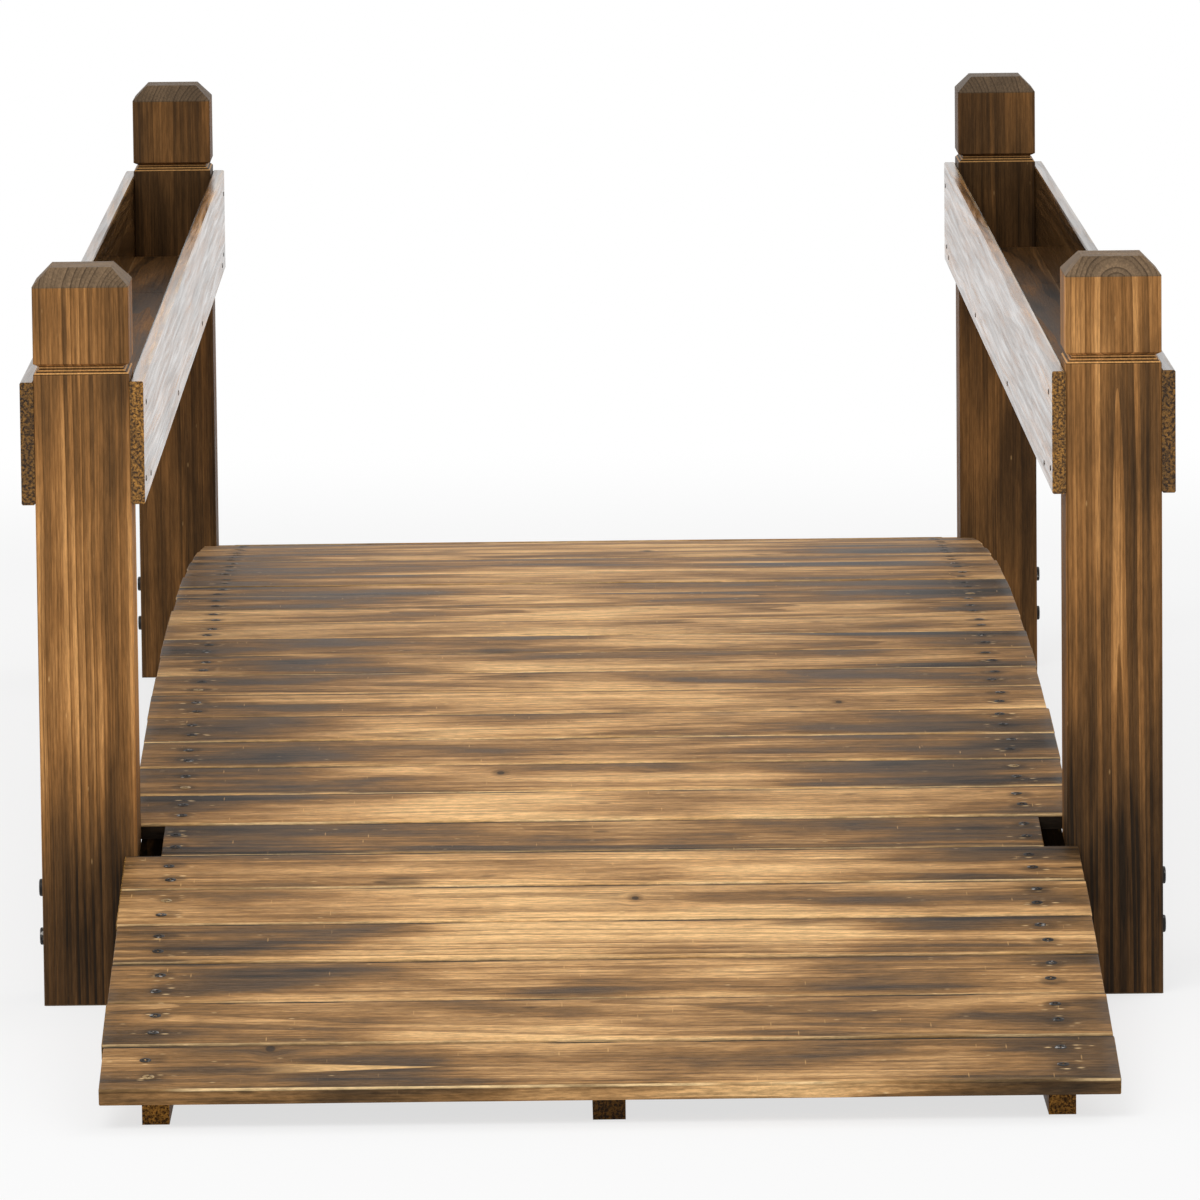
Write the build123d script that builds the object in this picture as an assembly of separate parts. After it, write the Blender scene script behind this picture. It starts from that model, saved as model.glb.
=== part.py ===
"""Arched wooden garden bridge with planter-box railings.

Millimetres, +Z up.  The origin is on the ground under the middle of the bridge,
+Y runs along the walkway and +X across it.  "front" is the -Y end, "left" is -X.
"""

import os
from math import cos, degrees, sin, sqrt

from build123d import *

# Deck: planks laid side by side across a circular arch
DECK_RADIUS = 5600.0
PLANK_PITCH = 67.0
PLANK_GAP = 1.0
PLANK_THICKNESS = 10.0
PLANK_OVERHANG = 24.0
RAMP_PLANKS = 6
MIDDLE_PLANKS = 20

# Stringers: three curved boards standing on flat feet
STRINGER_DEPTH = 72.0
STRINGER_TOE_HEIGHT = 16.7
OUTER_STRINGER_THICKNESS = 15.0
CENTRE_STRINGER_THICKNESS = 18.0
STRINGER_SPREAD = 511.0
FOOT_SETBACK = 18.0

# Posts: square, with a neck cut round them under a bevelled cap
POST_SIDE = 56.0
POST_HEIGHT = 434.0
POST_GAP = 5.0
CAP_BEVEL_RISE = 10.5
CAP_BEVEL_INSET = 10.0
NECK_HEIGHT = 372.0
NECK_DEPTH = 3.5
NECK_SLOPE = 3.2
NECK_FLAT = 1.6
NECK_SHOULDER = 1.8

# Spacer blocks that hold each post off its stringer
SPACER_THICKNESS = 17.0
SPACER_BOTTOM = 16.0
SPACER_REACH = 6.0
SHORT_PLANK_OVERHANG = 4.0

# Planter boxes between the posts
BOARD_THICKNESS = 8.0
BOARD_HEIGHT = 72.0
BOARD_DROP = 4.0
FLOOR_THICKNESS = 12.0
FLOOR_RAISE = 2.0
FLOOR_MIDDLE_LENGTH = 800.0
FLOOR_JOINT = 1.0

# Flat easing on the arrises of planks, posts and boards
EASING = 0.8

# Places round the arch, as angles from the crest
SHORT_PITCH = POST_SIDE + 2 * POST_GAP
PITCH_ANGLE = PLANK_PITCH / DECK_RADIUS
SHORT_ANGLE = SHORT_PITCH / DECK_RADIUS
MIDDLE_END_ANGLE = MIDDLE_PLANKS / 2 * PITCH_ANGLE
POST_ANGLE = MIDDLE_END_ANGLE + SHORT_ANGLE / 2
RAMP_START_ANGLE = MIDDLE_END_ANGLE + SHORT_ANGLE
DECK_END_ANGLE = RAMP_START_ANGLE + RAMP_PLANKS * PITCH_ANGLE

# Sizes that follow from the ones above
PLANK_LENGTH = STRINGER_SPREAD + 2 * PLANK_OVERHANG
SHORT_PLANK_LENGTH = STRINGER_SPREAD + 2 * SHORT_PLANK_OVERHANG
SPACER_LENGTH = SHORT_PITCH + 2 * SPACER_REACH
STRINGER_TOP_RADIUS = DECK_RADIUS - PLANK_THICKNESS
STRINGER_BOTTOM_RADIUS = STRINGER_TOP_RADIUS - STRINGER_DEPTH
STRINGER_END_Y = DECK_RADIUS * sin(DECK_END_ANGLE) - FOOT_SETBACK
ARCH_CENTRE_Z = STRINGER_TOE_HEIGHT - sqrt(STRINGER_TOP_RADIUS**2 - STRINGER_END_Y**2)
POST_X = STRINGER_SPREAD / 2 + SPACER_THICKNESS + POST_SIDE / 2
POST_Y = DECK_RADIUS * sin(POST_ANGLE)
BOARD_LENGTH = 2 * POST_Y + POST_SIDE
BOARD_BOTTOM = NECK_HEIGHT - BOARD_DROP - BOARD_HEIGHT
SIDES = {"left": -1, "right": 1}
ENDS = {"front": -1, "back": 1}


def arc_height(radius, y):
    """Height of a circle about the arch's centre, above the point y."""
    return ARCH_CENTRE_Z + sqrt(radius**2 - y**2)


def plank(length, pitch, angle):
    """One deck plank, lying flat on the stringers at this angle round the arch."""
    half_width = (pitch - PLANK_GAP) / 2
    section = Polyline(
        (-half_width, -PLANK_THICKNESS),
        (half_width, -PLANK_THICKNESS),
        (half_width, -EASING),
        (half_width - EASING, 0),
        (EASING - half_width, 0),
        (-half_width, -EASING),
        close=True,
    )
    board = extrude(Plane.YZ * make_face(section), length / 2, both=True)
    seat = Pos(0, DECK_RADIUS * sin(angle), ARCH_CENTRE_Z + DECK_RADIUS * cos(angle))
    return seat * Rot(-degrees(angle), 0, 0) * board


def stringer(thickness):
    """A curved board: arched top and bottom edges, flat feet and upright ends."""
    foot_y = sqrt(STRINGER_BOTTOM_RADIUS**2 - ARCH_CENTRE_Z**2)
    crown_z = arc_height(STRINGER_TOP_RADIUS, 0)
    soffit_z = arc_height(STRINGER_BOTTOM_RADIUS, 0)
    left_toe = (-STRINGER_END_Y, STRINGER_TOE_HEIGHT)
    right_toe = (STRINGER_END_Y, STRINGER_TOE_HEIGHT)
    outline = [
        ThreePointArc(left_toe, (0, crown_z), right_toe),
        Polyline(right_toe, (STRINGER_END_Y, 0), (foot_y, 0)),
        ThreePointArc((foot_y, 0), (0, soffit_z), (-foot_y, 0)),
        Polyline((-foot_y, 0), (-STRINGER_END_Y, 0), left_toe),
    ]
    return extrude(Plane.YZ * make_face(outline), thickness / 2, both=True)


def post():
    """A square post: one outline cut across and along it leaves cap and neck square."""
    half = POST_SIDE / 2
    neck = half - NECK_DEPTH
    neck_low = NECK_HEIGHT + NECK_SLOPE
    neck_high = neck_low + NECK_FLAT
    right = [
        (half, 0),
        (half, NECK_HEIGHT),
        (neck, neck_low),
        (neck, neck_high),
        (half, neck_high + NECK_SHOULDER),
        (half, POST_HEIGHT - CAP_BEVEL_RISE),
        (half - CAP_BEVEL_INSET, POST_HEIGHT),
    ]
    left = [(-x, z) for x, z in reversed(right)]
    outline = make_face(Polyline(*right, *left, close=True))
    across = extrude(Plane.XZ * outline, POST_SIDE, both=True)
    along = extrude(Plane.YZ * outline, POST_SIDE, both=True)
    square = Rectangle(POST_SIDE, POST_SIDE)
    eased = extrude(chamfer(square.vertices(), EASING), POST_HEIGHT)
    return across & along & eased


def spacer(y):
    """The block between a post at y and its stringer, cut to the arch under three planks."""
    start, finish = y - SPACER_LENGTH / 2, y + SPACER_LENGTH / 2
    crest = [(place, arc_height(STRINGER_TOP_RADIUS, place)) for place in (start, y, finish)]
    outline = [
        ThreePointArc(*crest),
        Polyline(crest[-1], (finish, SPACER_BOTTOM), (start, SPACER_BOTTOM), crest[0]),
    ]
    return extrude(Plane.YZ * make_face(outline), SPACER_THICKNESS / 2, both=True)


def side_board():
    """A long board with eased edges, nailed on the posts as a side of a planter box."""
    board = Box(BOARD_THICKNESS, BOARD_LENGTH, BOARD_HEIGHT)
    return chamfer(board.edges().filter_by(Axis.Y), EASING)


def planter_floor():
    """The floor of a planter box: a long middle piece and two that fill up to the posts."""
    run = 2 * POST_Y - POST_SIDE
    end_length = (run - FLOOR_MIDDLE_LENGTH) / 2 - FLOOR_JOINT
    end_y = (FLOOR_MIDDLE_LENGTH + end_length) / 2 + FLOOR_JOINT
    middle = Box(POST_SIDE, FLOOR_MIDDLE_LENGTH, FLOOR_THICKNESS)
    end = Box(POST_SIDE, end_length, FLOOR_THICKNESS)
    return [Pos(0, -end_y) * end, middle, Pos(0, end_y) * end]


def deck_planks():
    """Name and solid of every plank, counted from each end up to the crest."""
    half = [
        (PLANK_LENGTH, PLANK_PITCH, RAMP_START_ANGLE + (place + 0.5) * PITCH_ANGLE)
        for place in reversed(range(RAMP_PLANKS))
    ]
    half.append((SHORT_PLANK_LENGTH, SHORT_PITCH, POST_ANGLE))
    half += [
        (PLANK_LENGTH, PLANK_PITCH, (place + 0.5) * PITCH_ANGLE)
        for place in reversed(range(MIDDLE_PLANKS // 2))
    ]
    planks = {}
    for end, sign in ENDS.items():
        for number, (length, pitch, angle) in enumerate(half, start=1):
            planks[f"deck_plank_{end}_{number:02d}"] = plank(length, pitch, sign * angle)
    return planks


def framing():
    """Name and solid of the stringers, the posts and the blocks between them."""
    outer_x = (STRINGER_SPREAD - OUTER_STRINGER_THICKNESS) / 2
    spacer_x = (STRINGER_SPREAD + SPACER_THICKNESS) / 2
    frame = {"stringer_centre": stringer(CENTRE_STRINGER_THICKNESS)}
    blocks = []
    for side, across in SIDES.items():
        frame[f"stringer_{side}"] = Pos(across * outer_x) * stringer(OUTER_STRINGER_THICKNESS)
        for end, along in ENDS.items():
            frame[f"post_{end}_{side}"] = Pos(across * POST_X, along * POST_Y) * post()
            blocks.append(Pos(across * spacer_x) * spacer(along * POST_Y))
    frame["post_spacers"] = Compound(blocks)
    return frame


def planters():
    """Name and solid of both planter boxes: inner board, outer board and floor."""
    board_offset = (POST_SIDE + BOARD_THICKNESS) / 2
    board_z = BOARD_BOTTOM + BOARD_HEIGHT / 2
    floor_z = BOARD_BOTTOM + FLOOR_RAISE + FLOOR_THICKNESS / 2
    boxes = {}
    for side, across in SIDES.items():
        inner_x = across * (POST_X - board_offset)
        outer_x = across * (POST_X + board_offset)
        boxes[f"planter_{side}_inner_board"] = Pos(inner_x, 0, board_z) * side_board()
        boxes[f"planter_{side}_outer_board"] = Pos(outer_x, 0, board_z) * side_board()
        floor = [Pos(across * POST_X, 0, floor_z) * piece for piece in planter_floor()]
        boxes[f"planter_{side}_floor"] = Compound(floor)
    return boxes


os.makedirs("parts", exist_ok=True)
for name, solid in {**deck_planks(), **framing(), **planters()}.items():
    export_step(solid, f"parts/{name}.step")
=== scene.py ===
"""Looks of the arched garden bridge: scorched softwood, dark screws, nails and bolts.

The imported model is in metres, +Z up: +Y runs along the walkway and +X across it.
Sizes of wood grain, boards and fixings are written in millimetres.
"""

import math
import random
from dataclasses import dataclass

import bpy
from mathutils import Matrix, Vector
from mathutils.geometry import delaunay_2d_cdt


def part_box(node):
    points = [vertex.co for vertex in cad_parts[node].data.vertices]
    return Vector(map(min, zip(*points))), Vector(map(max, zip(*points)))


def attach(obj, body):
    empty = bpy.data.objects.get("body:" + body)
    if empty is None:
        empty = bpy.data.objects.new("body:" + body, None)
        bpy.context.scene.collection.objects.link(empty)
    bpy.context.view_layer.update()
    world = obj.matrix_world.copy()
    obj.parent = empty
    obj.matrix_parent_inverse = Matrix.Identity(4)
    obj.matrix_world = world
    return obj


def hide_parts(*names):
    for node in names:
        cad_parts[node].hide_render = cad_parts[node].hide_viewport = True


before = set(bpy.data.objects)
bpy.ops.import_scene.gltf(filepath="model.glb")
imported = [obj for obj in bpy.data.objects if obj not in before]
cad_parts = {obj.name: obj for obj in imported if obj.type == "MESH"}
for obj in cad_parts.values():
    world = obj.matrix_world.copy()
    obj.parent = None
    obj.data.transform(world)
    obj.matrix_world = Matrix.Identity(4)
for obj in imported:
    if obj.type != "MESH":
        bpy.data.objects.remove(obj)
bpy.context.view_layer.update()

MM = 0.001
SIDES = {"left": -1, "right": 1}
ENDS = {"front": -1, "back": 1}

# Camera, as found from the photograph's perspective, in millimetres, degrees and picture pixels
CAMERA_PLACE = (-31.3, -6216.0, 952.5)
CAMERA_YAW = 0.327
CAMERA_PITCH = 7.433
CAMERA_ROLL = -0.596
FOCAL_PIXELS = 9477.8
PICTURE_SIDE = 1200.0
SENSOR_WIDTH = 36.0

# Studio, in metres and watts. Each lamp has a place, a side and a power
LAMPS = {"key": ((-1.4, -3.6, 4.2), 3.0, 115.0), "fill": ((2.6, 1.5, 4.0), 3.0, 45.0)}
AMBIENT = 0.55
WHITE = (1.0, 1.0, 1.0, 1.0)
VIEW_DEPTH = 200.0
FLOOR_SIDE = 60.0
FLOOR_COLOUR = (0.86, 0.86, 0.86)
FLOOR_ROUGHNESS = 0.9
FLOOR_WHITENESS = 0.7
SHADOW_REACH = (0.45, 1.25)
FLOOR_FADE = 0.9

# Planks: how far a worn one strays from a true one
PLANKS_PER_END = 17
EDGE_WAVER = 0.6
TOP_WAVER = 0.12
CUP = 0.28
SKEW = 0.32
SINK = 0.5
END_TRIM = 1.4
ARRIS = 0.8
END_ROUNDING = 0.5

# Fineness of a plank's mesh: cuts along it, points on an arris, strips of the top
PLANK_STATIONS = 56
ARRIS_POINTS = 4
TOP_STRIPS = 6

# How much each plank of the front half was scorched, from the foot up to the crest
PLANK_SCORCH = (-0.05, -0.12, -0.08, -0.22, -0.28, -0.1, -0.01, -0.17, -0.01, -0.07, -0.09, -0.2, -0.1,
                -0.13, -0.05, -0.22, -0.25)

# How much less some planks were scorched in the middle of their length
BARE_MIDDLES = {("front", 3): 0.08, ("front", 4): 0.2, ("front", 8): 0.12, ("front", 12): 0.08}

# Pale tongues of sapwood in the planks: place of the tip, length and half width
TONGUES = {("front", 1): (-88.0, -3.0, 110.0, 9.0)}

# Knots in the planks: place along and across the plank, and radius
KNOTS = {
    ("front", 1): (-186.0, 27.0, 4.0),
    ("front", 5): (18.0, 6.0, 3.0),
    ("front", 9): (-60.0, 12.0, 3.5),
    ("front", 12): (150.0, -8.0, 3.0),
    ("back", 2): (90.0, -10.0, 4.0),
    ("back", 6): (-130.0, 14.0, 3.5),
    ("back", 11): (40.0, -16.0, 4.0),
}

# The frame's wood is redder than the planks, and the planter boards are a little redder
FRAME_TINT = (1.0, 0.88, 0.73)
BOARD_TINT = (1.0, 0.92, 0.82)

# Posts: height of the cap, the neck's place above the middle, and the pitch of its tool marks
CAP_HEIGHT = 11.0
NECK = (155.0, 159.9)
NECK_TOOTH = 1.65

# Bump of the wood's fibres
RELIEF_HEIGHT = 0.2

# Screws: two in each end of a plank. The rows are shares of its width, towards the crest
SCREW_X = 250.0
SCREW_ROWS = {"left": (0.18, -0.22), "right": (0.25, -0.15)}
SCREW_STRAY = 2.0
ROW_STRAY = 0.02
RAMP_PLANKS = 6
RAMP_SCREW_SHIFT = 2.5
GILT_SHARE = 0.06
SCREW_TILT = 0.05

# A screw's head: a flat with a cross recess, inside a sloping rim over a straight side
SCREW_RADIUS = 3.3
SCREW_SIDES = 20
SCREW_FLAT_RADIUS = 0.72 * SCREW_RADIUS
SCREW_RISE = 0.3
SCREW_RIM = 0.1
SCREW_FOOT_RADIUS = 0.97 * SCREW_RADIUS
SCREW_FOOT = -1.2
RECESS_ARM = 1.8
RECESS_HALF_WIDTH = 0.45
RECESS_DEPTH = 1.0
RECESS_TAPER = 0.8

# Bolts through the posts, with their profiles as radius and height from the foot up
BOLT_HEIGHTS = (37.0, 66.0)
WASHER_THICKNESS = 1.1
NUT_THICKNESS = 4.6
NUT_SIDES = 6
BOLT_HEAD = ((5.2, 0.0), (5.2, 2.4), (4.9, 2.95), (4.1, 3.2))
WASHER = ((6.8, 0.0), (6.8, WASHER_THICKNESS))
NUT = ((5.8, 0.0), (5.8, 4.0), (5.22, NUT_THICKNESS))
BOLT_END = ((3.0, -0.2), (3.0, 1.7), (2.4, 2.2))

# Nails in the planter boards: along the floor, and in each post off its middle and up
NAIL_RADIUS = 1.7
NAIL_SIDES = 14
NAIL = ((NAIL_RADIUS, -0.3), (NAIL_RADIUS, 0.175), (1.19, 0.35))
FLOOR_NAILS = (-640.0, -200.0, 240.0, 660.0)
POST_NAILS = ((9.0, 352.0), (-8.0, 309.0))

# Steel: size of its worn patches, which are partly painted glints, and how metallic it is under its coat
WEAR_AND_GLINT_SIZE = 4.0
STEEL_METALLIC = 0.5


def linear(red, green, blue):
    """A screen colour, 0 to 255, as the light values that shaders take."""
    def channel(value):
        value /= 255.0
        return value / 12.92 if value <= 0.04045 else ((value + 0.055) / 1.055) ** 2.4
    return (channel(red), channel(green), channel(blue), 1.0)


# Colours of the wood: from bare to burnt, with the heat at which each is reached
SCORCHED = (
    (0.08, linear(250, 202, 140)),
    (0.30, linear(216, 168, 112)),
    (0.50, linear(160, 119, 74)),
    (0.68, linear(106, 80, 52)),
    (0.90, linear(42, 34, 26)),
)
PALE = linear(250, 214, 158)
STRAW = linear(236, 188, 124)
BROWN = linear(100, 72, 40)
CHAR = linear(38, 31, 24)
END_GOLD = linear(186, 138, 66)
END_BROWN = linear(56, 35, 11)
# A cap's grey is partly char and partly a painted sheen, the glare on its end grain
CAP_GREY = linear(132, 115, 96)
CAP_DARK = linear(72, 59, 47)
BLACK_STEEL = linear(26, 23, 20)
GREY_STEEL = linear(165, 162, 158)
GILT_STEEL = linear(170, 142, 96)

# Marks of use on the planks: size, share of cells that hold one, strength and colour
MARKS = (
    ((20.0, 22.0, 22.0), 0.12, 0.45, CHAR),
    ((7.0, 3.0, 3.0), 0.08, 0.5, CHAR),
    ((0.5, 5.0, 5.0), 0.03, 0.5, STRAW),
)


# Shader arithmetic

class Signal:
    """A shader value that is added, multiplied and shaped like a number."""

    def __init__(self, tree, socket):
        self.tree = tree
        self.socket = socket

    def math(self, operation, *others):
        """This value, and others, put through one kind of math node."""
        node = self.tree.nodes.new("ShaderNodeMath")
        node.operation = operation
        for value, place in zip((self, *others), node.inputs):
            plug(self.tree, value, place)
        return Signal(self.tree, node.outputs[0])

    def __add__(self, other):
        return self.math("ADD", other)

    def __sub__(self, other):
        return self.math("SUBTRACT", other)

    def __mul__(self, other):
        return self.math("MULTIPLY", other)

    def __truediv__(self, other):
        return self.math("DIVIDE", other)

    def size(self):
        """This value without its sign."""
        return self.math("ABSOLUTE")

    def step(self, low, high):
        """0 below low, 1 above high, and smooth between them; low may be the higher one."""
        node = self.tree.nodes.new("ShaderNodeMapRange")
        node.interpolation_type = "SMOOTHSTEP"
        for value, name in zip((self, low, high), ("Value", "From Min", "From Max")):
            plug(self.tree, value, node.inputs[name])
        return Signal(self.tree, node.outputs["Result"])

    def close_to(self, limit, start, full):
        """0 at this start short of a limit, and 1 at this full short of it."""
        return self.step(limit - start, limit - full)


def plug(tree, value, socket):
    """Give a socket a signal or a plain value."""
    if isinstance(value, Signal):
        tree.links.new(value.socket, socket)
    else:
        socket.default_value = value


def distance(across, along):
    """How far off a point is that lies this far across and along."""
    return (across * across + along * along).math("SQRT")


def split(vector):
    """The three parts of a vector or colour signal."""
    node = vector.tree.nodes.new("ShaderNodeSeparateXYZ")
    plug(vector.tree, vector, node.inputs[0])
    return [Signal(vector.tree, part) for part in node.outputs]


def joined(*parts):
    """The vector signal with these three parts."""
    tree = parts[0].tree
    node = tree.nodes.new("ShaderNodeCombineXYZ")
    for part, place in zip(parts, node.inputs):
        plug(tree, part, place)
    return Signal(tree, node.outputs[0])


def blend(factor, start, end, mode="MIX"):
    """The start colour, blended by this factor with the end colour."""
    tree = next(value.tree for value in (factor, start, end) if isinstance(value, Signal))
    node = tree.nodes.new("ShaderNodeMix")
    node.data_type = "RGBA"
    node.blend_type = mode
    colours = [socket for socket in node.inputs if socket.type == "RGBA"]
    plug(tree, factor, node.inputs[0])
    plug(tree, start, colours[0])
    plug(tree, end, colours[1])
    out = [socket for socket in node.outputs if socket.type == "RGBA"][0]
    return Signal(tree, out)


def ramp(factor, stops):
    """The colour at this value in a row of colours."""
    node = factor.tree.nodes.new("ShaderNodeValToRGB")
    points = node.color_ramp.elements
    for _ in stops[2:]:
        points.new(0.5)
    for point, (place, colour) in zip(points, stops):
        point.position = place
        point.color = colour
    plug(factor.tree, factor, node.inputs[0])
    return Signal(factor.tree, node.outputs["Color"])


class Grain:
    """Noise in a board's own millimetres, moved about by the board's seed."""

    def __init__(self, board, seed):
        self.board = board
        self.rng = random.Random(seed)

    def scaled(self, size):
        """The board's coordinates in cells of this size, moved somewhere else."""
        tree = self.board.tree
        node = tree.nodes.new("ShaderNodeMapping")
        node.inputs["Scale"].default_value = [1 / side for side in size]
        node.inputs["Location"].default_value = [self.rng.uniform(-40, 40) for _ in size]
        plug(tree, self.board, node.inputs["Vector"])
        return Signal(tree, node.outputs[0])

    def cloud(self, size, detail=2.0, roughness=0.5, output="Fac"):
        """Soft noise around 0.5, with blobs of this size."""
        tree = self.board.tree
        node = tree.nodes.new("ShaderNodeTexNoise")
        node.inputs["Scale"].default_value = 1.0
        node.inputs["Detail"].default_value = detail
        node.inputs["Roughness"].default_value = roughness
        plug(tree, self.scaled(size), node.inputs["Vector"])
        return Signal(tree, node.outputs[output])

    def spots(self, size, share):
        """0 to 1 inside rounded spots of this size, in this share of the cells."""
        tree = self.board.tree
        node = tree.nodes.new("ShaderNodeTexVoronoi")
        node.inputs["Scale"].default_value = 1.0
        plug(tree, self.scaled([3 * side for side in size]), node.inputs["Vector"])
        away = Signal(tree, node.outputs["Distance"])
        chosen = split(Signal(tree, node.outputs["Color"]))[0]
        return away.step(0.34, 0.08) * chosen.step(share, share - 0.02)


# Wood

@dataclass
class Look:
    """How one piece of wood grew, was sawn and was scorched. Lengths are in millimetres.

    The size is along the board's X, Y and Z, and its far edge is the one at +Y.
    Streaks, threads, fibres and patches have a size along the grain and one across it.
    """

    size: tuple
    seed: int

    # Brightness and colour of the whole piece
    tone: float = 1.0
    tint: tuple = (1.0, 1.0, 1.0)

    # Growth rings: a year's width, the pith's place and lean, and how far the grain sways
    ring: float = 3.4
    pith: tuple = (12.0, -34.0)
    lean: tuple = (0.02, 0.015)
    sway: float = 8.0

    # How dark the latewood is, and how unevenly the years took the flame
    figure: float = 0.4
    flame: float = 0.25

    # Patterns along the grain, each with its strength
    streak: tuple = (110.0, 3.0)
    streakiness: float = 0.35
    thread: tuple = (70.0, 2.0)
    threading: float = 0.3
    fibre: tuple = (9.0, 1.3)
    fuzz: float = 0.6
    patch: tuple = (140.0, 42.0)
    patchiness: float = 1.6
    flecks: float = 0.03

    # Heat of the scorching: everywhere, then more or less at some places. The darkening at the ends is
    # partly painted shade
    scorch: float = 0.0
    far_scorch: float = 0.0
    end_scorch: float = 0.0
    low_scorch: float = 0.0
    bare_middle: float = 0.0
    flank_scorch: float = 0.0

    # Painted shade on the face inside the planter box, laid on as if it were more scorched; that face is
    # at -Z where this is negative
    hidden_face: float = 0.0

    # Edges rubbed bare, and on a plank a painted highlight at its near edge and painted shade at its far
    # one
    bright_edge: float = 0.0
    pale_arris: float = 0.25

    # Single marks
    knot: tuple = ()
    tongue: tuple = ()
    nails: tuple = ()
    walked_on: bool = False

    # A post's cap and neck
    cap: float = 0.0
    neck: tuple = ()

    # Finish: sheen, roughness, how much less where scorched and more in streaks, and bump
    sheen: float = 0.09
    roughness: float = 0.58
    polish: float = 0.14
    brushed: float = 0.0
    relief: float = 0.5


def board_vector(tree, place, turn):
    """A piece's coordinates in millimetres: X along the grain, Y across, Z through it."""
    coordinates = tree.nodes.new("ShaderNodeTexCoord")
    mapping = tree.nodes.new("ShaderNodeMapping")
    mapping.vector_type = "TEXTURE"
    mapping.inputs["Location"].default_value = place
    mapping.inputs["Rotation"].default_value = turn
    mapping.inputs["Scale"].default_value = (MM, MM, MM)
    tree.links.new(coordinates.outputs["Object"], mapping.inputs["Vector"])
    return Signal(tree, mapping.outputs[0])


def drawn_out(pattern):
    """Size of a pattern in three directions, from its size along and across the grain."""
    along, across = pattern
    return (along, across, across)


def knot_distance(board, look):
    """Distance from the middle of the knot, which is drawn out across the grain."""
    x, y, _ = split(board)
    return distance((x - look.knot[0]) * 1.2, (y - look.knot[1]) * 0.7)


def flowing(board, grain, look):
    """The board's coordinates along its grain, which sways and parts round a knot."""
    x, y, z = split(board)
    sway_y, sway_z, _ = split(grain.cloud((190, 20, 20), 1.0, 0.5, "Color"))
    y = y + (sway_y - 0.5) * look.sway
    z = z + (sway_z - 0.5) * look.sway
    if look.knot:
        _, place_y, radius = look.knot
        near = knot_distance(board, look).step(radius * 5, 0.0)
        y = y - (y - place_y) * near * 0.85
    return joined(x, y, z)


def growth_rings(flow, look):
    """Darkness of the latewood, and a value of its own for every year.

    The rings lie about a pith that leans a little from the board.
    """
    x, y, z = split(flow)
    across = y + x * look.lean[0] - look.pith[0]
    deep = z + x * look.lean[1] - look.pith[1]
    years = distance(across, deep) / look.ring
    year = years.math("FRACT")
    late = year.step(0.45, 0.93) * year.step(1.0, 0.94)
    noise = flow.tree.nodes.new("ShaderNodeTexWhiteNoise")
    noise.noise_dimensions = "1D"
    plug(flow.tree, years.math("FLOOR"), noise.inputs["W"])
    vigour = Signal(flow.tree, noise.outputs["Value"])
    return late * (vigour * 0.75 + 0.25), vigour


def burning_and_shade(board, look, cloud, streak, vigour):
    """How hot each place of the board was scorched, about 0.5 on average; painted shade is added in as if
    more scorched.
    """
    x, y, z = split(board)
    half_length, half_width, half_depth = (side / 2 for side in look.size)
    heat = (cloud - 0.5) * look.patchiness + (look.scorch + 0.5)
    heat = heat + (streak - 0.5) * look.streakiness
    heat = heat + (vigour - 0.5) * look.flame
    if look.far_scorch:
        heat = heat + y * (look.far_scorch / half_width)
    if look.end_scorch:
        heat = heat + x.size().close_to(half_length, 220, 30) * look.end_scorch
    if look.low_scorch:
        heat = heat + x.step(-half_length * 0.15, -half_length * 0.8) * look.low_scorch
    if look.bare_middle:
        heat = heat - x.size().step(170, 30) * look.bare_middle
    if look.neck:
        under_neck = x.step(40, 110) * x.step(look.neck[0] + 1, look.neck[0] - 1)
        heat = heat + under_neck * 0.1
    # Painted shade on the face inside the planter box, for the shade that falls in the box
    if look.hidden_face:
        height = z * math.copysign(1.0, look.hidden_face)
        heat = heat + height.close_to(half_depth, 1.5, 0.5) * abs(look.hidden_face)
    if look.flank_scorch:
        flank = y.size().close_to(half_width, 1.2, 0.7) * z.close_to(half_depth, 2.2, 2.8)
        heat = heat + flank * look.flank_scorch
    return heat


def knotted(board, look, colour):
    """The colour with a knot: a dark eye in a brown ring."""
    radius = look.knot[2]
    away = knot_distance(board, look)
    colour = blend(away.step(radius * 2.4, radius * 0.8) * 0.6, colour, BROWN)
    return blend(away.step(radius, radius * 0.6) * 0.8, colour, CHAR)


def tongued(board, look, colour):
    """The colour with a pale tongue of sapwood that narrows to a point in a dark patch."""
    x, y, _ = split(board)
    tip, place_y, length, half_width = look.tongue
    back = (x - tip) / -length
    aside = (y - place_y).size()
    shown = back.step(1.0, 0.55)
    smoke = (back * half_width * 1.6 + 6 - aside).step(0.0, 6.0) * back.step(-0.3, 0.2)
    colour = blend(smoke * shown * 0.45, colour, CHAR)
    inside = (back * half_width - aside).step(-0.2, 0.8)
    return blend(inside * shown * 0.85, colour, STRAW)


def trodden(board, grain, look, colour):
    """The colour with dark rings round the screws, partly stain and partly painted shade of countersinks,
    pale chips there, partly painted glints, and marks of use.
    """
    x, y, _ = split(board)
    across = (x.size() - SCREW_X) / 1.2
    along = y.size() - look.size[1] * 0.2
    squared = across * across + along * along
    # Dark rings round the screws: partly stain, partly painted shade of a countersunk hole
    colour = blend(squared.step(70, 9) * 0.5, colour, CHAR)
    # Pale spots round the screws: partly chipped wood, partly painted glints
    splinters_and_glints = grain.spots((3.0, 1.0, 1.0), 0.4) * squared.step(160, 40)
    colour = blend(splinters_and_glints * 0.8, colour, PALE)
    for size, share, strength, shade in MARKS:
        colour = blend(grain.spots(size, share) * strength, colour, shade)
    return colour


def nailed(board, look, colour):
    """The colour with the dark heads of nails driven flush."""
    x, y, _ = split(board)
    for place_x, place_y in look.nails:
        head = distance(x - place_x, y - place_y).step(NAIL_RADIUS + 0.3, NAIL_RADIUS - 0.3)
        colour = blend(head, colour, BLACK_STEEL)
    return colour


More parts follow.
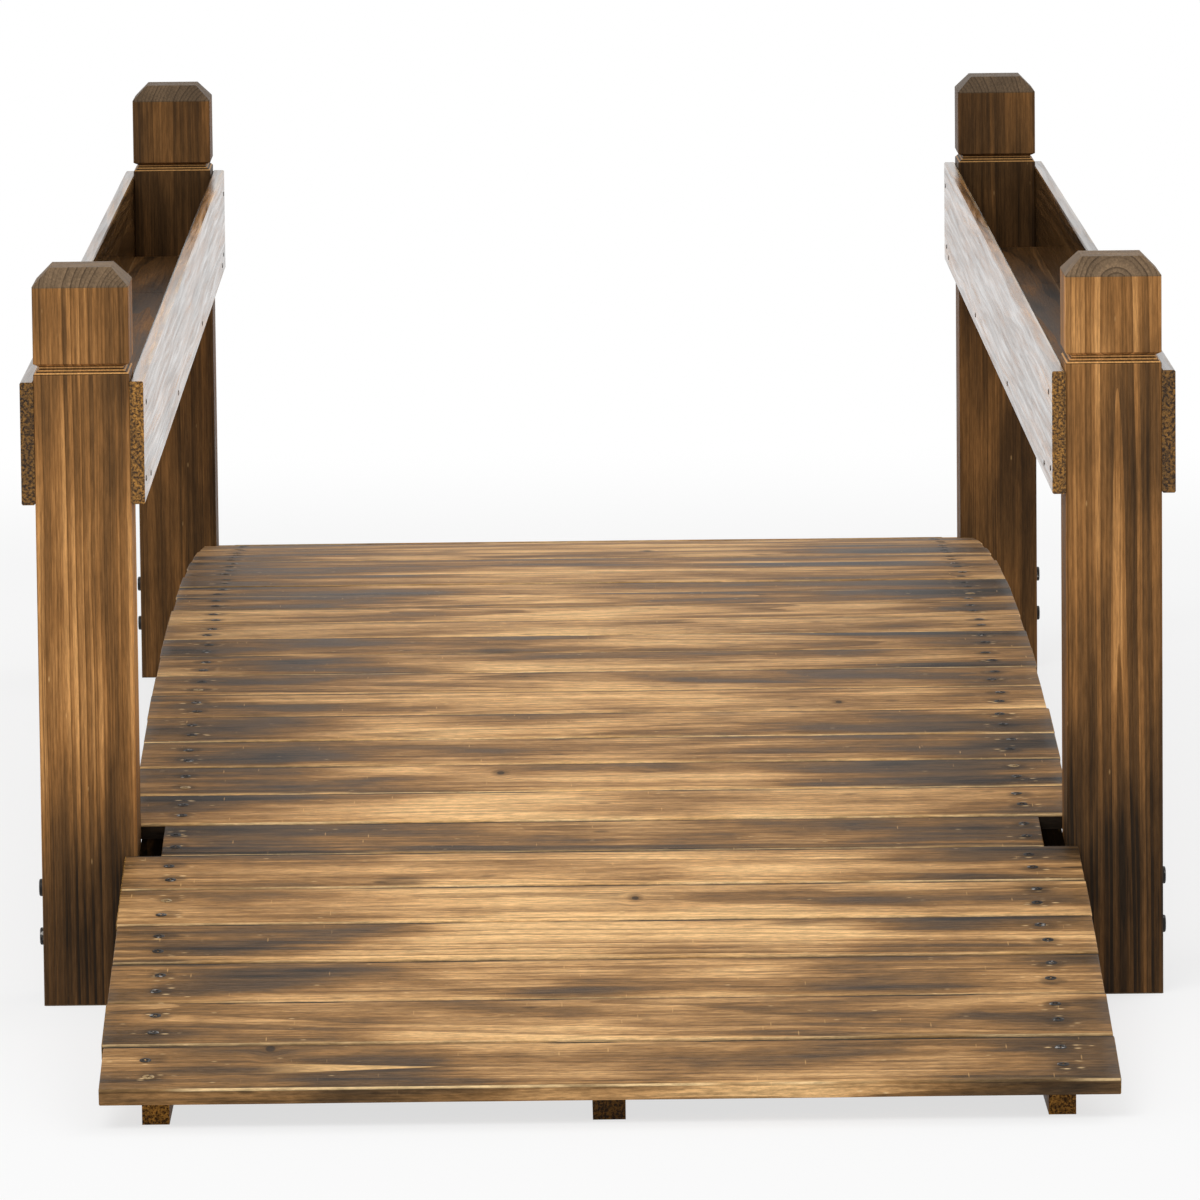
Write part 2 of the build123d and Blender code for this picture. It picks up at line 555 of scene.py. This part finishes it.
def edged(board, look, along, colour):
    """The colour with its edges rubbed bare, more and less along the board.

    On a plank the far edge gets painted shade, as in the joint behind it, and the near one a painted
    highlight, as where its flank catches the light.
    """
    _, y, z = split(board)
    _, half_width, half_depth = (side / 2 for side in look.size)
    top = z.close_to(half_depth, 2.6, 1.6)
    if look.bright_edge:
        # Painted shade along the far edge, for the shade in the joint
        far_edge_shade = y.close_to(half_width, 3.4, 2.2) * (along.step(0.42, 0.54) * 0.6 + 0.4)
        colour = blend(far_edge_shade, colour, CHAR)
        # Painted highlight along the near edge, where the flank catches the light
        near_edge_highlight = y.step(6 - half_width, 1 - half_width) * along.step(0.42, 0.56) * top
        colour = blend(near_edge_highlight * look.bright_edge, colour, STRAW)
    outward = y * -1.0 if look.bright_edge else y.size()
    arris = outward.close_to(half_width, 1.3, 0.7) * top
    return blend(arris * look.pale_arris * along.step(0.60, 0.44), colour, PALE)


def necked(board, look, colour):
    """The colour with the neck's cut, whose tool marks are painted as steps: a painted highlight on each
    lit face, painted shade between.
    """
    x, _, _ = split(board)
    low, high = look.neck
    cut = x.step(low - 0.2, low) * x.step(high + 0.2, high)
    # Painted light and shade of the tool marks' steps: bright where a step faces up into the light, dark
    # in its shade
    lit_step = (((x - low) / NECK_TOOTH).math("FRACT") - 0.5).size().step(0.32, 0.12)
    return blend(cut * 0.75, colour, blend(lit_step, CHAR, STRAW))


def ended(board, grain, look, late, heat, colour):
    """The colour with sawn ends: speckled, with their rings, and scorched. Caps are greyer."""
    x, _, _ = split(board)
    half_length = look.size[0] / 2
    end = x.size().close_to(half_length, 0.9, 0.4)
    if look.cap:
        end = end.math("MAXIMUM", x.close_to(half_length - look.cap, 0.3, 0.0))
        # Partly painted sheen: the cap's grey stands for glare as well as char
        sawn = blend(late * 0.8, CAP_GREY, CAP_DARK)
        return blend(end, colour, blend(heat.step(0.3, 0.75) * 0.45, sawn, CHAR))
    pores = grain.cloud((1.5, 1.5, 1.5), 3.0, 0.7).step(0.38, 0.62)
    sawn = blend(late * 0.5, blend(pores, END_BROWN, END_GOLD), END_BROWN)
    return blend(end, colour, blend(heat.step(0.45, 0.85) * 0.4, sawn, CHAR))


def scorched_wood(name, look, place=(0, 0, 0), turn=(0, 0, 0)):
    """Material of one piece of wood."""
    material = bpy.data.materials.new(name)
    material.use_nodes = True
    tree = material.node_tree
    shader = tree.nodes["Principled BSDF"]
    board = board_vector(tree, place, turn)
    grain = Grain(board, look.seed)

    flow = flowing(board, grain, look)
    late, vigour = growth_rings(flow, look)
    strands = Grain(flow, look.seed + 1)
    streak = strands.cloud(drawn_out(look.streak), 3.0, 0.6)
    fibre = strands.cloud(drawn_out(look.fibre), 4.0, 0.7).step(0.30, 0.70)
    thread = strands.cloud(drawn_out(look.thread), 1.0).step(0.54, 0.64)
    cloud = grain.cloud(drawn_out(look.patch), 3.0, 0.5)
    along = grain.cloud((90, 900, 900), 2.0)
    heat = burning_and_shade(board, look, cloud, streak, vigour)

    colour = ramp(heat, SCORCHED)
    bare = heat.step(1.15, 0.8)
    colour = blend(late * bare * look.figure, colour, BROWN)
    colour = blend(thread * bare * look.threading, colour, CHAR)
    if look.knot:
        colour = knotted(board, look, colour)
    if look.tongue:
        colour = tongued(board, look, colour)
    if look.walked_on:
        colour = trodden(board, grain, look, colour)
    if look.nails:
        colour = nailed(board, look, colour)
    colour = edged(board, look, along, colour)
    colour = blend(grain.spots((2.4, 0.7, 0.7), look.flecks) * 0.6, colour, PALE)
    if look.neck:
        colour = necked(board, look, colour)
    colour = ended(board, grain, look, late, heat, colour)
    shade = (fibre - 0.5) * (look.fuzz * look.tone) + look.tone
    tint = joined(*(shade * share for share in look.tint))
    plug(tree, blend(1.0, colour, tint, "MULTIPLY"), shader.inputs["Base Color"])

    relief = tree.nodes.new("ShaderNodeBump")
    relief.inputs["Strength"].default_value = look.relief
    relief.inputs["Distance"].default_value = RELIEF_HEIGHT * MM
    plug(tree, fibre, relief.inputs["Height"])
    tree.links.new(relief.outputs["Normal"], shader.inputs["Normal"])
    gloss = heat.step(0.5, 0.8) * look.polish + (streak - 0.5) * look.brushed
    plug(tree, gloss * -1.0 + look.roughness, shader.inputs["Roughness"])
    shader.inputs["Specular IOR Level"].default_value = look.sheen
    return material


def steel(name, bare, worn, roughness):
    """Material of small metal parts, with patches that are partly worn and partly painted glints."""
    material = bpy.data.materials.new(name)
    material.use_nodes = True
    tree = material.node_tree
    shader = tree.nodes["Principled BSDF"]
    coordinates = tree.nodes.new("ShaderNodeTexCoord")
    grain = Grain(Signal(tree, coordinates.outputs["Object"]), 5)
    wear_and_glint = grain.cloud([WEAR_AND_GLINT_SIZE * MM] * 3, 3.0)
    # The pale patches on black steel are partly painted glints
    plug(tree, blend(wear_and_glint.step(0.56, 0.68), bare, worn), shader.inputs["Base Color"])
    plug(tree, wear_and_glint * 0.3 + roughness, shader.inputs["Roughness"])
    shader.inputs["Metallic"].default_value = STEEL_METALLIC
    return material


# Meshes

def circle(radius, count):
    """Points evenly round a circle."""
    angles = [2 * math.pi * step / count for step in range(count)]
    return [(radius * math.cos(angle), radius * math.sin(angle)) for angle in angles]


def skin(rings, count):
    """Faces that join rings of points, each of this count, and close the first and the last."""
    last = (rings - 1) * count
    faces = [tuple(range(count))[::-1], tuple(range(last, last + count))]
    for base in range(0, last, count):
        for i in range(count):
            j = (i + 1) % count
            faces.append((base + i, base + j, base + count + j, base + count + i))
    return faces


def new_piece(name, vertices, faces, slot):
    """A mesh object, linked into the scene. Its slot argument is not used."""
    mesh = bpy.data.meshes.new(name)
    mesh.from_pydata(vertices, [], faces)
    mesh.validate()
    piece = bpy.data.objects.new(name, mesh)
    bpy.context.scene.collection.objects.link(piece)
    return piece


def smooth_over(piece, degrees):
    """Shade a piece smoothly, with edges sharper than this left crisp."""
    piece.data.shade_smooth()
    piece.data.set_sharp_from_angle(angle=math.radians(degrees))


def finish_with(piece, material):
    """Give a piece one material in every slot."""
    slots = piece.data.materials
    if not slots:
        slots.append(material)
    for place in range(len(slots)):
        slots[place] = material


# Planks

def seat_of(node):
    """Size of a plank and the matrix of its own frame: X across the bridge, Z out of its top."""
    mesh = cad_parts[node].data
    top = max(mesh.polygons, key=lambda face: face.area * (face.normal.z > 0.5))
    axes = [Vector((1, 0, 0)), top.normal.cross(Vector((1, 0, 0))), top.normal.copy()]
    spans = []
    for axis in axes:
        reach = [axis.dot(vertex.co) for vertex in mesh.vertices]
        spans.append((min(reach), max(reach)))
    middle = sum((axis * (low + high) / 2 for axis, (low, high) in zip(axes, spans)), Vector())
    seat = Matrix([[*row, place] for row, place in zip(Matrix(axes).transposed(), middle)])
    return [(high - low) / MM for low, high in spans], seat.to_4x4()


def waver(rng, length, waves):
    """A smooth random line along a board, from -1 to 1."""
    parts = []
    for number in range(1, waves + 1):
        turns = 2 * math.pi * number * rng.uniform(0.7, 1.3) / length
        parts.append((rng.uniform(0.4, 1.0) / number ** 0.6, turns, rng.uniform(0, 2 * math.pi)))
    whole = sum(part[0] for part in parts)
    return lambda x: sum(a * math.sin(k * x + p) for a, k, p in parts) / whole


class WornPlank:
    """A plank with the slight cup, skew and uneven edges of a real one, in millimetres."""

    def __init__(self, size, seed):
        rng = random.Random(seed)
        self.length, self.width, self.depth = size
        self.near = waver(rng, self.length, 9)
        self.far = waver(rng, self.length, 9)
        self.wave = waver(rng, self.length, 4)
        self.cup = rng.uniform(-CUP, CUP)
        self.skew = rng.uniform(-SKEW, SKEW)
        self.sink = rng.uniform(0.0, SINK)
        self.ends = [self.length / 2 - rng.uniform(0.0, END_TRIM) for _ in SIDES]

    def top(self, x, y):
        """Height of the upper face above the middle of the board."""
        across = 2 * y / self.width
        shape = self.cup * (across * across - 0.5) + self.skew * across
        return self.depth / 2 - CUP - SKEW - self.sink + shape + TOP_WAVER * (self.wave(x) - 1)

    def arris(self, x, edge, inward, shrink):
        """Points up the rounded arris of an edge, from its side to the top."""
        points = []
        for step in range(ARRIS_POINTS):
            angle = math.pi / 2 * step / (ARRIS_POINTS - 1)
            y = edge + inward * ARRIS * (1 - math.cos(angle))
            points.append((y, self.top(x, y) - ARRIS * (1 - math.sin(angle)) - shrink))
        return points

    def section(self, x, shrink):
        """The outline of a cut across the board, going round from the lower near edge."""
        near = -self.width / 2 + EDGE_WAVER * (0.5 + 0.5 * self.near(x)) + shrink
        far = self.width / 2 - EDGE_WAVER * (0.5 + 0.5 * self.far(x)) - shrink
        floor = -self.depth / 2 + shrink
        top = []
        for strip in range(1, TOP_STRIPS):
            y = far - ARRIS + (near - far + 2 * ARRIS) * strip / TOP_STRIPS
            top.append((y, self.top(x, y) - shrink))
        near_arris = reversed(self.arris(x, near, 1, shrink))
        return [(near, floor), (far, floor), *self.arris(x, far, -1, shrink), *top, *near_arris]

    def mesh(self):
        """Vertices and faces of the whole board, in metres."""
        left, right = self.ends
        run = left + right - 2 * END_ROUNDING
        stations = [(-left, END_ROUNDING)]
        for number in range(PLANK_STATIONS + 1):
            stations.append((END_ROUNDING - left + run * number / PLANK_STATIONS, 0.0))
        stations.append((right, END_ROUNDING))
        rings = [[(x, y, z) for y, z in self.section(x, shrink)] for x, shrink in stations]
        vertices = [tuple(MM * part for part in point) for ring in rings for point in ring]
        return vertices, skin(len(rings), len(rings[0]))


def plank_look(end, number, size, seed, rng):
    """How a plank looks: its own wood, and the marks it carries."""
    return Look(
        size=tuple(size),
        seed=seed,
        tone=rng.uniform(0.93, 1.03),
        ring=rng.uniform(3.0, 6.0),
        pith=(rng.uniform(-45, 45), rng.uniform(-60, -14)),
        lean=(rng.uniform(-0.03, 0.03), rng.uniform(-0.06, 0.06)),
        figure=rng.uniform(0.35, 0.7),
        flame=rng.uniform(0.05, 0.3),
        scorch=PLANK_SCORCH[number - 1] if end == "front" else rng.uniform(-0.18, -0.04),
        flank_scorch=-0.15 if number == 1 else 0.4,
        far_scorch=rng.uniform(-0.04, 0.1),
        # Darker towards the ends: partly scorched, partly painted shade where the light falls off towards
        # the sides of the bridge
        end_scorch=rng.uniform(0.15, 0.28),
        bare_middle=BARE_MIDDLES.get((end, number), 0.0),
        bright_edge=rng.uniform(0.1, 0.9),
        pale_arris=rng.uniform(0.2, 0.9),
        knot=KNOTS.get((end, number), ()),
        tongue=TONGUES.get((end, number), ()),
        walked_on=True,
    )


def screw_places(end, number, plank, seat, rng):
    """Where a plank's screws go. Those in the left of the ramps stand a little further out."""
    places = []
    for side, across in SIDES.items():
        shift = RAMP_SCREW_SHIFT if side == "left" and number <= RAMP_PLANKS else 0.0
        for row in SCREW_ROWS[side]:
            x = across * (SCREW_X + shift + rng.uniform(-SCREW_STRAY, SCREW_STRAY))
            y = -ENDS[end] * (row + rng.uniform(-ROW_STRAY, ROW_STRAY)) * plank.width
            place = [MM * part for part in (x, y, plank.top(x, y))]
            places.append(seat @ Matrix.Translation(place))
    return places


def lay_planks():
    """Worn planks in place of the plain ones. Returns where their screws go."""
    screws = []
    for end in ENDS:
        for number in range(1, PLANKS_PER_END + 1):
            node = f"deck_plank_{end}_{number:02d}"
            size, seat = seat_of(node)
            seed = 100 * number + (end == "back")
            rng = random.Random(seed)
            plank = WornPlank(size, seed)
            piece = new_piece(f"worn_plank_{end}_{number:02d}", *plank.mesh(), "deck_wood")
            piece.matrix_world = seat
            smooth_over(piece, 50)
            look = plank_look(end, number, size, seed, rng)
            finish_with(piece, scorched_wood(f"plank_{end}_{number:02d}", look))
            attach(piece, "root")
            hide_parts(node)
            screws += screw_places(end, number, plank, seat, rng)
    return screws


# Fixings

def revolved(profile, sides=20):
    """Vertices and faces of a turned shape about Z, in metres, closed at both ends."""
    vertices = []
    for radius, height in profile:
        vertices += [(x, y, MM * height) for x, y in circle(MM * radius, sides)]
    return vertices, skin(len(profile), sides)


def screw_head():
    """Vertices and faces of a low domed head with a cross recess, in metres."""
    arm, half = RECESS_ARM, RECESS_HALF_WIDTH
    corners = [(arm, -half), (arm, half), (half, half), (half, arm), (-half, arm), (-half, half)]
    cross = corners + [(-x, -y) for x, y in corners]
    rim = circle(SCREW_FLAT_RADIUS, SCREW_SIDES)
    after_cross = [(i, (i + 1) % len(cross)) for i in range(len(cross))]
    after_side = [(i, (i + 1) % SCREW_SIDES) for i in range(SCREW_SIDES)]

    # The flat, less its triangles over the cross
    first = len(cross)
    loops = after_cross + [(first + i, first + j) for i, j in after_side]
    flat = [Vector(point) for point in cross + rim]
    points, _, triangles, *_ = delaunay_2d_cdt(flat, loops, [], 0, 1e-6)
    vertices = [(p.x * MM, p.y * MM, SCREW_RISE * MM) for p in points]
    faces = []
    for triangle in triangles:
        centre = sum((points[i] for i in triangle), Vector((0, 0))) / 3
        low, high = sorted((abs(centre.x), abs(centre.y)))
        if not (low < half and high < arm):
            faces.append(tuple(triangle))

    # The recess, narrower at its floor
    floor = len(vertices)
    depth = (SCREW_RISE - RECESS_DEPTH) * MM
    vertices += [(RECESS_TAPER * x * MM, RECESS_TAPER * y * MM, depth) for x, y in cross]
    faces += [(i, floor + i, floor + j, j) for i, j in after_cross]
    faces.append(tuple(floor + i for i in range(len(cross))))

    # The rim, the side and the foot
    side = len(vertices)
    foot = side + SCREW_SIDES
    for radius, height in ((SCREW_RADIUS, SCREW_RIM), (SCREW_FOOT_RADIUS, SCREW_FOOT)):
        vertices += [(x, y, MM * height) for x, y in circle(MM * radius, SCREW_SIDES)]
    for i, j in after_side:
        faces.append((first + j, first + i, side + i, side + j))
        faces.append((side + j, side + i, foot + i, foot + j))
    faces.append(tuple(foot + i for i in range(SCREW_SIDES))[::-1])
    return vertices, faces


def scattered(name, shape, places, material, rng=None):
    """One piece of many copies of a small shape, a little tilted and turned if rng is given."""
    vertices, faces = [], []
    for place in places:
        base = len(vertices)
        if rng:
            tilt = Matrix.Rotation(rng.uniform(-SCREW_TILT, SCREW_TILT), 4, "X")
            place = place @ tilt @ Matrix.Rotation(rng.uniform(0, math.pi), 4, "Z")
        vertices += [tuple(place @ Vector(point)) for point in shape[0]]
        faces += [tuple(base + i for i in face) for face in shape[1]]
    piece = new_piece(name, vertices, faces, "black_fixings")
    smooth_over(piece, 40)
    finish_with(piece, material)
    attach(piece, "root")


def facing(point, direction):
    """A place for a fixing whose axis points along a direction."""
    return Matrix.Translation(point) @ direction.to_track_quat("Z", "Y").to_matrix().to_4x4()


def faces_across(node, across):
    """Where a node's inner and outer faces stand across the bridge."""
    low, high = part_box(node)
    return [reach * across for reach in sorted((abs(low.x), abs(high.x)))]


def nail_places(side):
    """Where the nails of a planter board are, along and up the bridge in millimetres."""
    low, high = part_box(f"planter_{side}_floor")
    floor_height = (low.z + high.z) / 2 / MM
    places = [(y, floor_height) for y in FLOOR_NAILS]
    for end in ENDS:
        low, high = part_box(f"post_{end}_{side}")
        middle = (low.y + high.y) / 2 / MM
        places += [(middle + shift, height) for shift, height in POST_NAILS]
    return places


def bolt_posts(material):
    """Bolt heads outside the posts, and washers, nuts and bolt ends inside the stringers."""
    heads, washers, nuts, ends = [], [], [], []
    for side, across in SIDES.items():
        out = Vector((across, 0, 0))
        inner_x, _ = faces_across(f"stringer_{side}", across)
        for end in ENDS:
            post = f"post_{end}_{side}"
            _, outer_x = faces_across(post, across)
            low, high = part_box(post)
            y = (low.y + high.y) / 2
            for height in BOLT_HEIGHTS:
                heads.append(facing(Vector((outer_x, y, height * MM)), out))
                face = Vector((inner_x, y, height * MM))
                washers.append(facing(face, -out))
                nuts.append(facing(face - out * WASHER_THICKNESS * MM, -out))
                reach = (WASHER_THICKNESS + NUT_THICKNESS) * MM
                ends.append(facing(face - out * reach, -out))
    scattered("bolt_heads", revolved(BOLT_HEAD), heads, material)
    scattered("bolt_washers", revolved(WASHER), washers, material)
    scattered("bolt_nuts", revolved(NUT, NUT_SIDES), nuts, material)
    scattered("bolt_ends", revolved(BOLT_END), ends, material)


def nail_planters(material):
    """Nail heads on the inner boards of the planter boxes."""
    nails = []
    for side, across in SIDES.items():
        inner_x, _ = faces_across(f"planter_{side}_inner_board", across)
        for y, z in nail_places(side):
            nails.append(facing(Vector((inner_x, y * MM, z * MM)), Vector((-across, 0, 0))))
    scattered("planter_nails", revolved(NAIL, NAIL_SIDES), nails, material)


def drive_fixings(screws):
    """Screws in the deck, bolts and nuts at the posts, and nails in the planter boards."""
    black = steel("black_steel", BLACK_STEEL, GREY_STEEL, 0.36)
    gilt = steel("gilt_steel", GILT_STEEL, BLACK_STEEL, 0.3)
    rng = random.Random(7)
    rng.shuffle(screws)
    few = round(GILT_SHARE * len(screws))
    scattered("gilt_screws", screw_head(), screws[:few], gilt, rng)
    scattered("black_screws", screw_head(), screws[few:], black, rng)
    bolt_posts(black)
    nail_planters(black)


# Posts, stringers and planter boxes

def turn_to(axes):
    """Rotation that lays a piece's own X, Y and Z along these axes of the bridge."""
    columns = [Vector([float(axis == letter) for letter in "XYZ"]) for axis in axes]
    return Matrix(columns).transposed().to_euler()


def dress(node, axes, **traits):
    """Wood for a piece of the frame, with the grain along the first of these axes."""
    low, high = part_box(node)
    span = dict(zip("XYZ", (high - low) / MM))
    look = Look(size=tuple(span[axis] for axis in axes), **traits)
    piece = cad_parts[node]
    finish_with(piece, scorched_wood(f"wood_{node}", look, (low + high) / 2, turn_to(axes)))


def dress_frame():
    """Materials of every piece that keeps its plain shape."""
    frame_wood = dict(tint=FRAME_TINT, streak=(240.0, 1.8), streakiness=0.25, thread=(260.0, 1.5),
                      fibre=(14.0, 1.1), fuzz=0.5, patch=(140.0, 22.0), flecks=0.012, pale_arris=0.1)
    dress("stringer_left", "YZX", seed=21, scorch=0.05, end_scorch=0.1, **frame_wood)
    # The centre stringer is darker all over and most at its feet: painted shade for the shade under the
    # planks
    dress("stringer_centre", "YZX", seed=22, scorch=0.1, end_scorch=0.6, tone=0.5, **frame_wood)
    dress("stringer_right", "YZX", seed=23, scorch=0.05, end_scorch=0.25, **frame_wood)
    # The spacers are painted near black, without sheen: painted shade for the deep shade in the notches
    # beside the posts
    dress("post_spacers", "YZX", seed=24, scorch=0.6, tone=0.2, sheen=0.0, roughness=0.9, **frame_wood)

    post_wood = dict(frame_wood, lean=(0.006, 0.018), sway=3.0, patchiness=0.8, cap=CAP_HEIGHT, neck=NECK)
    far_post = dict(post_wood, scorch=0.14, tone=0.75, figure=0.4, flame=0.1)
    dress("post_front_left", "ZXY", seed=31, pith=(36.0, -34.0), ring=2.3, scorch=-0.08,
          low_scorch=0.37, end_scorch=0.11, figure=0.7, flame=0.2, **post_wood)
    dress("post_front_right", "ZXY", seed=32, pith=(3.0, -31.0), ring=2.8, scorch=0.14,
          low_scorch=0.4, end_scorch=-0.2, figure=0.6, flame=0.25, **post_wood)
    dress("post_back_left", "ZXY", seed=33, pith=(46.0, -44.0), ring=2.4, **far_post)
    dress("post_back_right", "ZXY", seed=34, pith=(-48.0, -38.0), ring=2.6, **far_post)

    board = dict(tint=BOARD_TINT, fibre=(60.0, 1.2), streak=(200.0, 4.0), patch=(200.0, 40.0),
                 patchiness=0.5, sheen=0.25, roughness=0.18, polish=0.0, brushed=0.4, relief=0.05,
                 flecks=0.01)
    for number, (side, across) in enumerate(SIDES.items()):
        # The inner board's face towards the planter box gets painted shade
        dress(f"planter_{side}_inner_board", "YZX", seed=41 + number, scorch=0.06,
              hidden_face=across * 0.9, pith=(8.0, -30.0 * across), **board)
        low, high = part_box(f"planter_{side}_outer_board")
        middle = (low.z + high.z) / 2 / MM
        nails = tuple((y, z - middle) for y, z in nail_places(side))
        dress(f"planter_{side}_outer_board", "YZX", seed=51 + number, scorch=0.1, tone=0.57,
              pith=(-8.0, 30.0 * across), nails=nails, **board)
        dress(f"planter_{side}_floor", "YXZ", seed=61 + number, scorch=0.22, patchiness=0.5,
              **frame_wood)


# Studio

def seen_directly(tree):
    """1 for rays from the camera or off gloss, 0 for light that falls on things."""
    path = tree.nodes.new("ShaderNodeLightPath")
    rays = [Signal(tree, path.outputs[f"Is {kind} Ray"]) for kind in ("Camera", "Glossy")]
    return (rays[0] + rays[1]).math("MINIMUM", 1.0)


def mix_shaders(tree, factor, lit, white, output):
    """Send an output the lit shader, blended by this factor with the white one."""
    mixed = tree.nodes.new("ShaderNodeMixShader")
    plug(tree, factor, mixed.inputs["Fac"])
    tree.links.new(lit.outputs[0], mixed.inputs[1])
    tree.links.new(white.outputs[0], mixed.inputs[2])
    tree.links.new(mixed.outputs[0], tree.nodes[output].inputs["Surface"])


def lay_floor():
    """A plain pale floor that keeps the bridge's shadow and turns white away from it."""
    half = FLOOR_SIDE / 2
    corners = [(-half, -half, 0), (half, -half, 0), (half, half, 0), (-half, half, 0)]
    mesh = bpy.data.meshes.new("floor")
    mesh.from_pydata(corners, [], [(0, 1, 2, 3)])
    floor = bpy.data.objects.new("floor", mesh)
    bpy.context.scene.collection.objects.link(floor)
    material = bpy.data.materials.new("floor")
    material.use_nodes = True
    tree = material.node_tree
    shader = tree.nodes["Principled BSDF"]
    shader.inputs["Base Color"].default_value = (*FLOOR_COLOUR, 1.0)
    shader.inputs["Roughness"].default_value = FLOOR_ROUGHNESS
    glow = tree.nodes.new("ShaderNodeEmission")
    place = tree.nodes.new("ShaderNodeTexCoord")
    x, y, _ = split(Signal(tree, place.outputs["Object"]))
    beside = (x.size() - SHADOW_REACH[0]).math("MAXIMUM", 0.0)
    beyond = (y.size() - SHADOW_REACH[1]).math("MAXIMUM", 0.0)
    away = distance(beside, beyond).step(0.0, FLOOR_FADE)
    whiteness = away * (1.0 - FLOOR_WHITENESS) + FLOOR_WHITENESS
    mix_shaders(tree, seen_directly(tree) * whiteness, shader, glow, "Material Output")
    mesh.materials.append(material)


def surround():
    """White all round, which lights the bridge less than it shows."""
    world = bpy.data.worlds.new("surround")
    world.use_nodes = True
    tree = world.node_tree
    ambient = tree.nodes["Background"]
    ambient.inputs["Strength"].default_value = AMBIENT
    white = tree.nodes.new("ShaderNodeBackground")
    for light in (ambient, white):
        light.inputs["Color"].default_value = WHITE
    mix_shaders(tree, seen_directly(tree), ambient, white, "World Output")
    bpy.context.scene.world = world


def hang_lamps():
    """Square soft lamps aimed at the middle of the bridge."""
    for name, (place, size, power) in LAMPS.items():
        data = bpy.data.lights.new(name, "AREA")
        data.size = size
        data.energy = power
        lamp = bpy.data.objects.new(name, data)
        lamp.matrix_world = facing(Vector(place), Vector(place))
        bpy.context.scene.collection.objects.link(lamp)


def place_camera():
    """The photograph's viewpoint."""
    yaw, pitch, roll = (math.radians(angle) for angle in (CAMERA_YAW, CAMERA_PITCH, CAMERA_ROLL))
    forward = Vector((math.sin(yaw) * math.cos(pitch), math.cos(yaw) * math.cos(pitch), -math.sin(pitch)))
    level = Vector((math.cos(yaw), -math.sin(yaw), 0))
    upright = level.cross(forward)
    right = math.cos(roll) * level + math.sin(roll) * upright
    up = math.cos(roll) * upright - math.sin(roll) * level
    data = bpy.data.cameras.new("camera")
    data.sensor_width = SENSOR_WIDTH
    data.lens = FOCAL_PIXELS / PICTURE_SIDE * SENSOR_WIDTH
    data.clip_end = VIEW_DEPTH
    camera = bpy.data.objects.new("camera", data)
    rotation = Matrix([right, up, -forward]).transposed().to_4x4()
    camera.matrix_world = Matrix.Translation([MM * part for part in CAMERA_PLACE]) @ rotation
    bpy.context.scene.collection.objects.link(camera)
    bpy.context.scene.camera = camera


place_camera()
lay_floor()
surround()
hang_lamps()
drive_fixings(lay_planks())
dress_frame()
bpy.context.scene.view_settings.view_transform = "Standard"
